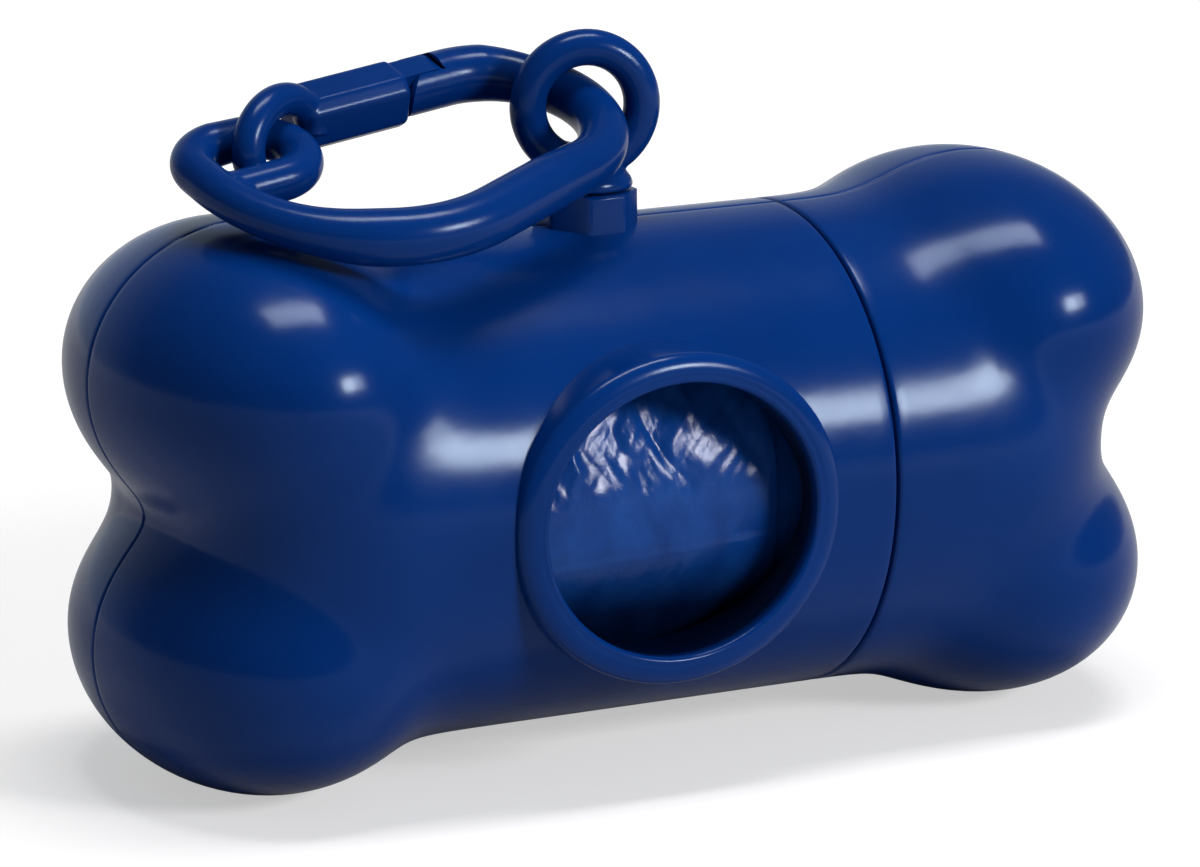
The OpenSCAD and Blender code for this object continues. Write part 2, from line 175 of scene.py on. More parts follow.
tree.links.new(glow.outputs[0], both.inputs[1])
tree.links.new(both.outputs[0], add(tree, "OutputMaterial").inputs["Surface"])
floor_mesh.materials.append(matt_white)

# ---- Body: front and rear half shells ----
# Two thin mouldings of glossy navy plastic, glued along the bone's middle. Their edges are slightly
# rounded, which shows as a fine line, and the front one has the hole for the bags.
SHAFT_R, SHAFT_HALF, SHAFT_ROUND = 19.6, 39.1, 13.4
LOBE_X, LOBE_Z, LOBE_RADII, BLEND = 32.0, 10.5, (13.0, 18.6, 11.85), 1.2
WALL, SEAM_ROUND, JOINT_ROUND, JOINT_X, JOINT_GAP = 1.8, 0.28, 0.35, 14.9, 0.2
OUTLET_X, OUTLET_WIDE, OUTLET_LOW, OUTLET_HOLE_R = -4.5, 1.015, 0.94, 12.2
SWIVEL_X, STEM_HOLE_R = -2.55, 1.86
CREASE = 38  # a bend sharper than this many degrees shows as an edge


def bone_depth(p):
    """How far points are outside the bone's skin, negative inside, with the bone's middle at the origin."""
    x, y, z = np.abs(p[..., 0]), p[..., 1], p[..., 2]
    dx, dr = x - SHAFT_HALF + SHAFT_ROUND, np.hypot(y, z) - SHAFT_R + SHAFT_ROUND
    forms = [np.minimum(np.maximum(dx, dr), 0) + np.hypot(np.maximum(dx, 0), np.maximum(dr, 0))
             - SHAFT_ROUND]
    for side in (-1, 1):
        from_lobe = np.stack([x - LOBE_X, y, z - side * LOBE_Z], -1) / LOBE_RADII
        length = np.linalg.norm(from_lobe, axis=-1)
        slope = np.linalg.norm(from_lobe / LOBE_RADII, axis=-1)
        forms.append(length * (length - 1) / np.maximum(slope, 1e-6))
    low = np.minimum(np.minimum(forms[0], forms[1]), forms[2])
    return low - BLEND * np.log(sum(np.exp(-(form - low) / BLEND) for form in forms))


def on_skin(starts, ways, depths):
    """Where rays from inside the bone reach the given depths of its skin, by halving a span 34 times."""
    low, high = np.zeros(len(starts)), np.full(len(starts), 2.4 * SHAFT_R)
    for _ in range(34):
        middle = (low + high) / 2
        inside = bone_depth(starts + ways * middle[:, None]) < depths
        low, high = np.where(inside, middle, low), np.where(inside, high, middle)
    return starts + ways * low[:, None]


def new_mesh(name, points, faces, sharp=CREASE):
    """A smooth-shaded mesh object with its faces turned outward, creased at bends above sharp degrees."""
    mesh = bpy.data.meshes.new(name)
    mesh.from_pydata((np.asarray(points, float) / 1000).tolist(), [], faces)
    shape = bmesh.new()
    shape.from_mesh(mesh)
    bmesh.ops.recalc_face_normals(shape, faces=shape.faces)
    shape.to_mesh(mesh)
    shape.free()
    mesh.shade_smooth()
    mesh.set_sharp_from_angle(angle=math.radians(sharp))
    piece = bpy.data.objects.new(name, mesh)
    bpy.context.collection.objects.link(piece)
    return piece


def half_shell(name, stop, rear=False, cap=False):
    """A closed half of the bone from its end at -X to x = stop. A cap half is mirrored to the +X end."""
    quarter = np.radians(np.linspace(0, 90, 5))
    seam_y, seam_depth = SEAM_ROUND * (1 - np.cos(quarter)), SEAM_ROUND * (1 - np.sin(quarter))
    lip_from = stop - JOINT_ROUND
    # Each ring of points is an x, an angle off the -X way and a depth: a fan, a run and a rounded lip.
    rings = [(-LOBE_X, angle, 0.0) for angle in np.linspace(0, 90, 45)[1:]]
    rings += [(x, 90.0, 0.0) for x in np.linspace(-LOBE_X, lip_from, int((lip_from + LOBE_X) / 0.8))[1:]]
    rings += [(lip_from + JOINT_ROUND * math.sin(a), 90.0, JOINT_ROUND * (math.cos(a) - 1))
              for a in quarter[1:]]
    starts, ways, depths = [], [], []
    for x, angle, depth in rings:
        c, s = math.cos(math.radians(angle)), math.sin(math.radians(angle))
        below = on_skin(np.array([[x, 0, 0.0]]), np.array([[-c, 0, -s]]), np.array([0.0]))[0]
        edge = np.degrees(np.arcsin(np.minimum(seam_y / (np.linalg.norm(below - (x, 0, 0)) * s), 0.9)))
        middle = np.linspace(-90 + edge[-1], 90 - edge[-1], 97)[1:-1]
        turns = np.radians(np.concatenate([-90 + edge, middle, (90 - edge)[::-1]]))
        seams = np.concatenate([seam_depth, np.zeros(len(middle)), seam_depth[::-1]])
        for turn, seam in zip(turns, seams):
            starts.append((x, 0, 0))
            ways.append((-c, -s * math.cos(turn), s * math.sin(turn)))
            depths.append(min(depth, -seam))
    across, along = len(turns), len(rings)
    starts, ways = np.array(starts, float), np.array(ways)
    outer = on_skin(starts, ways, np.array(depths))
    inner = on_skin(starts, ways, np.full(len(starts), -WALL))
    tips = on_skin(np.array([[-LOBE_X, 0, 0.0]] * 2), np.array([[-1.0, 0, 0]] * 2),
                   np.array([-SEAM_ROUND, -WALL]))
    points = np.concatenate([tips[:1], outer, tips[1:], inner])
    points[:, 2] = np.maximum(points[:, 2], -AXIS_Z) + AXIS_Z
    base = 1 + along * across
    faces = []
    for j in range(across - 1):
        faces += [(0, j + 2, j + 1), (base, base + 1 + j, base + 2 + j)]
        last = (along - 1) * across + j
        faces.append((1 + last, 2 + last, base + 2 + last, base + 1 + last))
        for a in range(j, last, across):
            b = a + across
            faces.append((1 + a, 2 + a, 2 + b, 1 + b))
            faces.append((base + 1 + a, base + 1 + b, base + 2 + b, base + 2 + a))
    rim = [(along - 1 - i) * across for i in range(along)] + [-1]
    rim += [(i + 1) * across - 1 for i in range(along)]
    faces += [(1 + a, base + 1 + a, base + 1 + b, 1 + b) for a, b in zip(rim, rim[1:])]
    points *= (-1 if cap else 1, -1 if rear else 1, 1)
    return new_mesh(name, points, faces)


def cut(piece, *cutters):
    """Takes the cutters' shapes out of a piece."""
    for cutter in cutters:
        step = piece.modifiers.new("cut", "BOOLEAN")
        step.object = cutter
        step.solver = "EXACT"
    shape = bpy.data.meshes.new_from_object(piece.evaluated_get(bpy.context.evaluated_depsgraph_get()))
    piece.modifiers.clear()
    piece.data = shape
    shape.materials.clear()
    shape.set_sharp_from_angle(angle=math.radians(CREASE))
    for cutter in cutters:
        bpy.data.objects.remove(cutter)
    return piece


def stacked(outlines):
    """Points and faces of a closed skin over a stack of outlines, each with the same number of points."""
    m, last = len(outlines[0]), (len(outlines) - 1) * len(outlines[0])
    faces = [tuple(range(m))[::-1], tuple(range(last, last + m))]
    for i in range(0, last, m):
        faces += [(i + k, i + (k + 1) % m, i + m + (k + 1) % m, i + m + k) for k in range(m)]
    return [point for outline in outlines for point in outline], faces


def around(count):
    """Equal angles all the way round."""
    return np.linspace(0, 2 * math.pi, count + 1)[:-1]


def round_cutter(centre, way, radius, length, sides=128, wide=1.0, low=1.0):
    """A bar that starts at centre and runs along way, to cut holes with, round or oval in X and Z."""
    turn = Matrix.Diagonal((wide, 1, low)) @ Vector(way).to_track_quat("Z", "Y").to_matrix()
    ring = [(radius * math.cos(a), radius * math.sin(a)) for a in around(sides)]
    ends = [[turn @ Vector((x, y, z)) + Vector(centre) for x, y in ring] for z in (0, length)]
    return new_mesh("cutter", *stacked(ends))


def new_material(name, texture_scale=(1000, 1000, 1000), texture_turn=0.0):
    """A material, its tree, its shader, and the piece's own coordinates in millimetres or as scaled."""
    material = bpy.data.materials.new(name)
    material.use_nodes = True
    tree = material.node_tree
    scaled = add(tree, "Mapping", {"Scale": texture_scale, "Rotation": (0, 0, texture_turn)})
    tree.links.new(add(tree, "TexCoord").outputs["Object"], scaled.inputs["Vector"])
    return material, tree, tree.nodes["Principled BSDF"], scaled.outputs[0]


def clouds(tree, where, **values):
    """A noise texture's grey value."""
    node = add(tree, "TexNoise", values)
    tree.links.new(where, node.inputs["Vector"])
    return node.outputs["Fac"]


def colour_shader(tree, factor, low, high, low_at=0.0, high_at=1.0):
    """Colours the shader between two colours by a grey value."""
    ramp = add(tree, "ValToRGB")
    for stop, colour, position in zip(ramp.color_ramp.elements, (low, high), (low_at, high_at)):
        stop.position = position
        stop.color = (*colour, 1)
    tree.links.new(factor, ramp.inputs["Fac"])
    tree.links.new(ramp.outputs["Color"], tree.nodes["Principled BSDF"].inputs["Base Color"])


def relief(tree, height, strength, depth_m):
    """Gives the shader a fine relief from a grey value."""
    bump = add(tree, "Bump", {"Strength": strength, "Distance": depth_m})
    tree.links.new(height, bump.inputs["Height"])
    tree.links.new(bump.outputs["Normal"], tree.nodes["Principled BSDF"].inputs["Normal"])


def moulded_navy(name, scuff=0.5):
    """Polished navy plastic: faint flow clouds in the colour, orange-peel, rubbed spots in the gloss."""
    polished, rubbed = 0.17, 0.17 + 0.09 * scuff
    material, tree, shader, where = new_material(name)
    flow = clouds(tree, where, Scale=0.06, Detail=3)
    colour_shader(tree, flow, (0.0003, 0.0205, 0.128), (0.0005, 0.0262, 0.158), 0.3, 0.7)
    spots = clouds(tree, where, Scale=0.35, Detail=6, Roughness=0.65)
    tree.links.new(ranged(tree, spots, 0.35, 0.75, polished, rubbed), shader.inputs["Roughness"])
    relief(tree, clouds(tree, where, Scale=0.9, Detail=2), 0.06, 0.00012)
    shader.inputs["IOR"].default_value = 1.46
    shader.inputs["Specular Tint"].default_value = (0.68, 0.86, 1.0, 1)
    shader.inputs["Specular IOR Level"].default_value = 0.21
    return material


shell_navy = moulded_navy("shell_navy_plastic")
body_front = half_shell("body_front_skin", JOINT_X - JOINT_GAP / 2)
body_rear = half_shell("body_rear_skin", JOINT_X - JOINT_GAP / 2, rear=True)
cut(body_front, round_cutter((OUTLET_X, -9, AXIS_Z), (0, -1, 0), OUTLET_HOLE_R, 15,
                             wide=OUTLET_WIDE, low=OUTLET_LOW))
for piece, node in ((body_front, "body_front_shell"), (body_rear, "body_rear_shell")):
    cut(piece, round_cutter((SWIVEL_X, 0, AXIS_Z + 10), (0, 0, 1), STEM_HOLE_R, 15, 64))
    piece.data.materials.append(shell_navy)
    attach(piece, "body")
    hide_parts(node)

# ---- Boss under the swivel ----
# An eight-sided stub on top of the shaft, moulded in one with the shells, half on each, with soft
# edges round its top.
BOSS_WIDE, BOSS_TALL, BOSS_ROUND, BOSS_SUNK = 7.8, 2.6, 0.35, 1.2
BOSS_TOP = AXIS_Z + SHAFT_R + BOSS_TALL


def boss_half(name, side):
    """Half of the boss, on the front (side -1) or the rear (side +1), with half of the stem's bore."""
    half, corner = BOSS_WIDE / 2, BOSS_WIDE / 2 / math.cos(math.radians(22.5))
    first = 180 if side < 0 else 0
    outline = [(half * side, 0)]
    outline += [(corner * math.cos(a), corner * math.sin(a))
                for a in np.radians(first + 22.5 + 45 * np.arange(4))]
    outline += [(-half * side, 0)]
    outline += [(STEM_HOLE_R * math.cos(a), STEM_HOLE_R * math.sin(a))
                for a in np.radians(np.linspace(first + 180, first, 17))]
    shape = bmesh.new()
    foot, top = [[shape.verts.new(Vector((SWIVEL_X + x, y + side * 0.02, z)) / 1000) for x, y in outline]
                 for z in (AXIS_Z + SHAFT_R - BOSS_SUNK, BOSS_TOP)]
    shape.faces.new(foot[::-1])
    upper = shape.faces.new(top)
    for k in range(len(outline)):
        shape.faces.new((foot[k - 1], foot[k], top[k], top[k - 1]))

    def off_centre(vert):
        return Vector((vert.co.x * 1000 - SWIVEL_X, vert.co.y * 1000))

    crown = [e for e in upper.edges if all(max(map(abs, off_centre(v))) > 2 for v in e.verts)
             and sum(map(abs, off_centre(e.verts[0]) - off_centre(e.verts[1]))) < 4.5]
    uprights = [e for e in shape.edges if abs(e.verts[0].co.z - e.verts[1].co.z) > 0.001
                and off_centre(e.verts[0]).length > 3.95]
    bmesh.ops.bevel(shape, geom=crown + uprights, offset=BOSS_ROUND / 1000, segments=4, affect="EDGES",
                    profile=0.5)
    bmesh.ops.recalc_face_normals(shape, faces=shape.faces)
    mesh = bpy.data.meshes.new(name)
    shape.to_mesh(mesh)
    shape.free()
    mesh.shade_smooth()
    mesh.set_sharp_from_angle(angle=math.radians(30))
    mesh.materials.append(shell_navy)
    piece = bpy.data.objects.new(name, mesh)
    bpy.context.collection.objects.link(piece)
    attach(piece, "body")


boss_half("boss_front", -1)
boss_half("boss_rear", 1)

# ---- Outlet collar ----
# A collar round the bag outlet, with a rounded crest near its inner edge. Its back is saddle-shaped to sit
# on the round shaft, and its sleeve lines the hole. Shade is painted into the bore: its colour darkens
# deeper in.
RING_R, RING_BAND, RING_FACE = 11.4, 2.4, 20.6
CROWN_WIDE, CROWN_DEEP, INNER_ROUND = 1.62, 1.05, 0.42
# the last is the share of colour that the bore's painted shade leaves at its deepest
SLEEVE_WALL, PAINTED_BORE_SHADE = 0.7, 0.14


def looped(points, row):
    """Points and faces of a skin of equal rows. Each row closes on itself, and the last on the first."""
    count = len(points)
    return points, [(k + i, k + (i + 1) % row, (k + row) % count + (i + 1) % row, (k + row) % count + i)
                    for k in range(0, count, row) for i in range(row)]


def outlet_collar():
    """The collar as one closed loop of profile, whose back edge follows the shaft at every bearing."""
    points = []
    rim, shoulder, inner_flank = RING_R + RING_BAND, RING_FACE - CROWN_DEEP, RING_FACE - INNER_ROUND
    for a in around(224):
        def on_shaft(r, radius):
            return -math.sqrt(radius * radius - (r * OUTLET_LOW * math.sin(a)) ** 2)

        foot, inner = on_shaft(rim, SHAFT_R + 0.02), on_shaft(RING_R, SHAFT_R - WALL - 0.05)
        profile = [(rim, foot * (1 - t) - shoulder * t) for t in (0, 0.04, 0.5)]
        profile += [(rim - CROWN_WIDE * (1 - math.cos(b)), -shoulder - CROWN_DEEP * math.sin(b))
                    for b in np.radians(np.linspace(0, 88, 15))]
        profile += [(RING_R + 0.66, -RING_FACE + 0.05)]
        profile += [(RING_R + INNER_ROUND * (1 + math.cos(b)), -inner_flank - INNER_ROUND * math.sin(b))
                    for b in np.radians(np.linspace(82, 180, 11))]
        profile += [(RING_R, -inner_flank * (1 - t) + inner * t) for t in (0.3, 0.6, 0.9)]
        profile += [(RING_R + 0.12, inner), (RING_R + 0.58, inner), (RING_R + SLEEVE_WALL, inner - 0.12)]
        profile += [(RING_R + SLEEVE_WALL, on_shaft(RING_R + SLEEVE_WALL, SHAFT_R + 0.02) + 0.02)]
        points += [(OUTLET_X + r * OUTLET_WIDE * math.cos(a), y, AXIS_Z + r * OUTLET_LOW * math.sin(a))
                   for r, y in profile]
    return new_mesh("outlet_collar", *looped(points, len(profile)), 50)


def paint_shade(material, factor):
    """Paints shade into a material: multiplies its colour by a factor that changes over the surface."""
    tree = material.node_tree
    colour = tree.nodes["Principled BSDF"].inputs["Base Color"]
    shaded_colour = add(tree, "Mix", {0: 1.0}, data_type="RGBA", blend_type="MULTIPLY")
    tree.links.new(colour.links[0].from_socket, shaded_colour.inputs[6])
    tree.links.new(factor, shaded_colour.inputs[7])
    tree.links.new(shaded_colour.outputs[2], colour)


def own_place(tree):
    """The X, Y and Z of the piece's own coordinates, in metres."""
    split = add(tree, "SeparateXYZ")
    tree.links.new(tree.nodes["Texture Coordinate"].outputs["Object"], split.inputs[0])
    return split.outputs


collar = outlet_collar()
collar_navy = moulded_navy("collar_navy_plastic", 0.2)
tree = collar_navy.node_tree
x, y, z = own_place(tree)
flat = add(tree, "CombineXYZ")
tree.links.new(x, flat.inputs["X"])
tree.links.new(z, flat.inputs["Z"])
from_centre = add(tree, "VectorMath", {1: (OUTLET_X / 1000, 0, AXIS_Z / 1000)}, operation="DISTANCE")
tree.links.new(flat.outputs[0], from_centre.inputs[0])
# painted shade: the bore's colour darkens deeper into the hole, and only inside the bore
shade_deeper_in = ranged(tree, y, -0.0203, -0.0193, 1.0, PAINTED_BORE_SHADE)
outside_bore = ranged(tree, from_centre.outputs["Value"], 0.01190, 0.01225, 0.0, 1.0)
paint_shade(collar_navy, worked(tree, "MAXIMUM", shade_deeper_in, outside_bore))
collar.data.materials.append(collar_navy)
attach(collar, "body")
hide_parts("outlet_ring")

# ---- Screw cap: front and rear half shells ----
# The same mouldings as the body's, mirrored to the +X end. A narrow groove parts them from the body.
for name, node, rear in (("cap_front_skin", "cap_front_shell", False),
                         ("cap_rear_skin", "cap_rear_shell", True)):
    piece = half_shell(name, -(JOINT_X + JOINT_GAP / 2), rear=rear, cap=True)
    piece.data.materials.append(shell_navy)
    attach(piece, "cap")
    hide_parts(node)

# ---- Threaded neck ----
# A short tube fixed inside the cap. The part that enters the body has a two-start thread, 5 mm a
# turn, with rounded ridges that fade out at both ends.
NECK_R, NECK_BORE, NECK_FROM, NECK_TO = 17.5, 16.0, JOINT_X - 7.0, JOINT_X + 6.0
RIDGE_PITCH, THREAD_STARTS, RIDGE_TALL, RIDGE_HALF, RIDGE_FADE, LEAD_IN = 2.5, 2, 0.45, 0.30, 0.8, 0.35


def held(value):
    """A value held between 0 and 1."""
    return min(1.0, max(0.0, value))


def eased(value):
    """A value from 0 to 1 that leaves and arrives softly."""
    return value * value * (3 - 2 * value)


def sleeve(name, stations, sides, radius, bore, centre_z, sharp):
    """A tube along X with a plain bore. Its outer radius is worked out at each x and angle."""
    rings = [[(x, a, radius(x, a)) for a in around(sides)] for x in stations]
    rings += [[(x, a, bore) for a in around(sides)] for x in (stations[-1], stations[0])]
    points = [(x, r * math.cos(a), centre_z + r * math.sin(a)) for ring in rings for x, a, r in ring]
    return new_mesh(name, *looped(points, sides), sharp)


def neck_radius(x, a):
    """The neck's outer radius, with the thread's ridges on the part that enters the body."""
    if x >= JOINT_X - 0.5:
        return NECK_R
    phase = ((x - NECK_FROM) / RIDGE_PITCH - THREAD_STARTS * a / (2 * math.pi)) % 1
    ridge = eased(held(1 - abs(phase - 0.5) / RIDGE_HALF))
    fade = held((x - NECK_FROM - 0.5) / RIDGE_FADE) * held((JOINT_X - 0.6 - x) / RIDGE_FADE)
    return NECK_R - RIDGE_TALL * (1 - ridge * fade) - (LEAD_IN if x <= NECK_FROM else 0)


neck = sleeve("threaded_neck", np.linspace(NECK_FROM, NECK_TO, 97), 180, neck_radius, NECK_BORE, AXIS_Z, 45)
neck.data.materials.append(moulded_navy("neck_navy_plastic", 0.8))
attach(neck, "neck")
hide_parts("cap_neck")

# ---- Bag roll ----
# Thin blue film bags wound tightly on a card tube. The winding shows as a spiral on both ends, and
# the outside is slightly uneven.
ROLL_Z, ROLL_FROM, ROLL_TO, ROLL_R, CORE_R = AXIS_Z - 0.4, -32.2, 23.8, 15.3, 6.0
LAYER, LAYER_STEP = 0.62, 0.16


def blue_film(name, wrinkle):
    """Thin plastic film: a mid blue, uneven in depth, glossy, with fine creases across the roll."""
    material, tree, shader, where = new_material(name, (900, 600, 600))
    depth = clouds(tree, where, Scale=0.35, Detail=5)
    colour_shader(tree, depth, (0.002, 0.034, 0.19), (0.006, 0.062, 0.29), 0.32, 0.72)
    relief(tree, clouds(tree, where, Scale=0.8, Detail=7, Roughness=0.6, Distortion=0.9), wrinkle, 0.0003)
    shader.inputs["Roughness"].default_value = 0.20
    shader.inputs["IOR"].default_value = 1.5
    shader.inputs["Specular IOR Level"].default_value = 0.26
    shader.inputs["Specular Tint"].default_value = (0.85, 0.92, 1.0, 1)
    return material


def uneven(x, y, z):
    """Smooth noise in space, from about -0.5 to 0.5."""
    return noise.noise(Vector((x, y, z)))


def wound_roll():
    """The roll's ends, outside and bore as one closed profile, carried round its axis."""
    end, points = 60, []
    profile = [(ROLL_FROM, r) for r in np.linspace(CORE_R, ROLL_R - 0.1, end)]
    profile += [(x, ROLL_R) for x in np.linspace(ROLL_FROM + 0.15, ROLL_TO - 0.15, 70)]
    profile += [(ROLL_TO, r) for r in np.linspace(ROLL_R - 0.1, CORE_R, end)]
    for a in around(240):
        for i, (x, r) in enumerate(profile):
            if end <= i < len(profile) - end:
                r -= 0.10 * (0.5 + uneven(x * 0.12, 3 * math.cos(a), 3 * math.sin(a)))
            elif r - CORE_R > 0.2 and ROLL_R - r > 0.2:
                step = LAYER_STEP * abs(2 * ((r / LAYER + a / (2 * math.pi)) % 1) - 1)
                x += step if i < end else -step
            points.append((x, r * math.cos(a), ROLL_Z + r * math.sin(a)))
    return new_mesh("wound_bags", *looped(points, len(profile)), 50)


roll = wound_roll()
roll.data.materials.append(blue_film("roll_film", 0.35))
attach(roll, "roll")
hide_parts("bag_roll")

# ---- Card core ----
# A spirally wound tube of brown card inside the roll, with a visible butt line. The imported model's own
# shape is kept.
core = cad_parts["roll_core"]
card, tree, shader, where = new_material("wound_card", texture_turn=math.radians(35))
butt = add(tree, "TexWave", {"Scale": 0.05, "Distortion": 0.6})
tree.links.new(where, butt.inputs["Vector"])
fibres = clouds(tree, where, Scale=3.0, Detail=8)
mixed = add(tree, "Mix", {0: 0.65}, data_type="FLOAT")
tree.links.new(butt.outputs["Fac"], mixed.inputs[2])
tree.links.new(fibres, mixed.inputs[3])
colour_shader(tree, mixed.outputs[0], (0.24, 0.15, 0.08), (0.46, 0.33, 0.20), 0.25, 0.75)
relief(tree, fibres, 0.3, 0.0001)
shader.inputs["Roughness"].default_value = 0.85
core.data.materials.clear()
core.data.materials.append(card)

# ---- Leading bag ----
# The loose outermost bag. It bulges off the roll and is gathered into sharp small creases that run
# round the roll, deepest above the middle, and a long fold crosses it below.
LOOSE_FROM, LOOSE_TO, LOOSE_R, LOOSE_BORE, HEM = -30.2, 6.0, 16.55, 15.36, 0.7
# the last is the share of colour that the painted shade leaves at the film's bottom
DEEPEST, FOLD_LOW, FOLD_TILT, PAINTED_LOW_SHADE = 0.98, 3.3, 0.055, 0.16

creases = []  # each set runs on a tilt, and is kept as (across, along, offset, depth)
for wave, tilt, depth in ((5.2, 14, 0.50), (3.9, -22, 0.42), (2.7, 31, 0.30), (2.1, -9, 0.24),
                          (1.5, 24, 0.15), (1.1, -36, 0.10)):
    tilt = math.radians(tilt)
    creases.append((math.cos(tilt) / wave, math.sin(tilt) / wave, 3.7 * wave, depth))


def film_dip(x, a):
    """How far the film dips below its loosest radius, at x along the roll and angle a up from the front."""
    arc, height, in_front = LOOSE_R * a, LOOSE_R * math.sin(a), abs(a) <= math.pi / 2
    waver = 1.5 * uneven(x * 0.13, arc * 0.10, 7.0) + 0.5 * uneven(x * 0.4, arc * 0.3, 2.0)
    top_edge, low_edge = 9.6 + 1.5 * uneven(x * 0.2, 4.0, 1.0), 2.7 + 2.2 * uneven(x * 0.33, 9.0, 5.0)
    gathered = 0.35
    if in_front:
        gathered = 1 / (1 + math.exp((height - top_edge) / 0.9)) / (1 + math.exp((low_edge - height) / 0.7))
    dip = 0.12 + 0.14 * (0.5 + uneven(x * 0.10, arc * 0.12, 2.7))
    for across, along, offset, depth in creases:
        place = (x + waver) * across + arc * along + offset
        patch = min(1.2, max(0.1, 0.5 + uneven(x * 0.17, arc * 0.12, offset)))
        dip += (0.13 + 0.87 * gathered) * depth * patch * abs(2 * (place % 1) - 1) * 0.75
    if in_front:
        over_fold = height + FOLD_LOW - FOLD_TILT * (x + 5)
        dip += 0.15 / (1 + math.exp(-over_fold / 0.08)) - 0.10 * math.exp(-(over_fold / 0.14) ** 2)
    return dip


def film_radius(x, a):
    """The loose bag's outer radius, drawn in a little at both hems."""
    hem = held(min((LOOSE_TO - x) / HEM, (x - LOOSE_FROM) / HEM))
    up_from_front = (2 * math.pi - a) % (2 * math.pi) - math.pi
    return LOOSE_R - min(DEEPEST, max(0.0, film_dip(x, up_from_front))) - 0.10 * (1 - hem)


bag = sleeve("loose_bag", np.linspace(LOOSE_FROM, LOOSE_TO, 241), 420, film_radius, LOOSE_BORE, ROLL_Z, 70)
loose_film = blue_film("loose_film", 0.2)
tree = loose_film.node_tree
height = own_place(tree)["Z"]  # painted shade: the film's colour is darker towards the bottom, below the long fold
paint_shade(loose_film, ranged(tree, height, (AXIS_Z - 8.5) / 1000, (AXIS_Z - 2.5) / 1000, PAINTED_LOW_SHADE, 1.0))
bag.data.materials.append(loose_film)
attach(bag, "roll")
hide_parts("leading_bag")

# ---- Swivel eye ----
# One moulding: a round ring on a domed foot, with a stem through the boss and a head that holds it
# inside the shells. Its parts run into each other with soft hollows.
EYE_R, EYE_ROD, EYE_TURN, EYE_HOLE_R, STEM_R, HEAD_Z = 4.6, 1.45, 13, 3.16, 1.8, 37.9
FOOT_Z = BOSS_TOP + 0.15
EYE_Z = FOOT_Z + 0.4 + EYE_R + EYE_ROD


def rod(points, radii, sides=36):
    """Points and faces of a closed round rod along a path, with a radius at each point."""
    path, side, rings = [Vector(p) for p in points], None, []
    for i, point in enumerate(path):
        way = (path[min(i + 1, len(path) - 1)] - path[max(i - 1, 0)]).normalized()
        side = way.orthogonal().normalized() if side is None else side
        side = (side - way * side.dot(way)).normalized()
        other = way.cross(side)
        rings.append([point + radii[i] * (math.cos(a) * side + math.sin(a) * other)
                      for a in around(sides)])
    return stacked(rings)


def turned_piece(profile):
    """Points and faces of a closed turning about the swivel's upright line, from (radius, height) pairs."""
    return stacked([[(SWIVEL_X + r * math.cos(a), r * math.sin(a), z) for a in around(96)]
                    for r, z in profile])


def moulded_as_one(name, shapes, voxel, soften):
    """Joins closed shapes into one skin and softens the corners between them."""
    points, faces = [], []
    for shape_points, shape_faces in shapes:
        faces += [tuple(len(points) + i for i in face) for face in shape_faces]
        points += [tuple(p) for p in shape_points]
    piece = new_mesh(name, points, faces)
    join = piece.modifiers.new("join", "REMESH")
    join.mode = "VOXEL"
    join.voxel_size = voxel / 1000
    ease = piece.modifiers.new("ease", "SMOOTH")
    ease.factor = 0.5
    ease.iterations = soften
    shape = bpy.data.meshes.new_from_object(piece.evaluated_get(bpy.context.evaluated_depsgraph_get()))
    piece.modifiers.clear()
    piece.data = shape
    shape.shade_smooth()
    return piece


eye_turn = Matrix.Rotation(math.radians(-EYE_TURN), 3, "Z")
eye_centre = Vector((SWIVEL_X, 0, EYE_Z))
circle = [eye_centre + eye_turn @ Vector((EYE_R * math.sin(a), 0, -EYE_R * math.cos(a)))
          for a in np.radians(np.linspace(0, 360, 145))]
web_ovals = ((23.5058, 2.1, 2.1), (24.1058, 2.15, 1.8), (24.7058, 2.5, 1.5), (25.4058, 3.2, 1.30),
             (25.9058, 3.7, 1.1))  # height over the bone's axis, and half widths along and across the ring
web = new_mesh("web", *stacked([
    [Vector((SWIVEL_X, 0, AXIS_Z + up)) + eye_turn @ Vector((wide * math.cos(a), thick * math.sin(a), 0))
     for a in around(48)] for up, wide, thick in web_ovals]))
eye_hole = rod([eye_centre + eye_turn @ Vector((0, s, 0)) for s in (-3, 3)], [EYE_HOLE_R] * 2, 96)
cut(web, new_mesh("cutter", *eye_hole))
web_shape = ([v.co * 1000 for v in web.data.vertices], [tuple(p.vertices) for p in web.data.polygons])
bpy.data.objects.remove(web)
foot = turned_piece([(r, FOOT_Z + up) for r, up in (
    (0.02, 0), (3.6, 0), (3.75, 0.12), (3.78, 0.35), (3.66, 0.75), (3.3, 1.2), (2.75, 1.6), (2.2, 1.95),
    (0.02, 2.0))])
head = [(r, HEAD_Z + up) for r, up in ((0.02, 0), (2.95, 0), (3.1, 0.15), (3.1, 1.05), (2.95, 1.2),
                                       (STEM_R, 1.22))]
stem = turned_piece([*head, (STEM_R, FOOT_Z + 0.5), (0.02, FOOT_Z + 0.5)])
ring = rod(circle, [EYE_ROD] * len(circle), 48)
eye = moulded_as_one("swivel_link_eye", [ring, web_shape, foot, stem], 0.13, 9)
eye.data.materials.append(moulded_navy("eye_navy_plastic", 0.7))
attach(eye, "swivel")
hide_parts("swivel_eye")

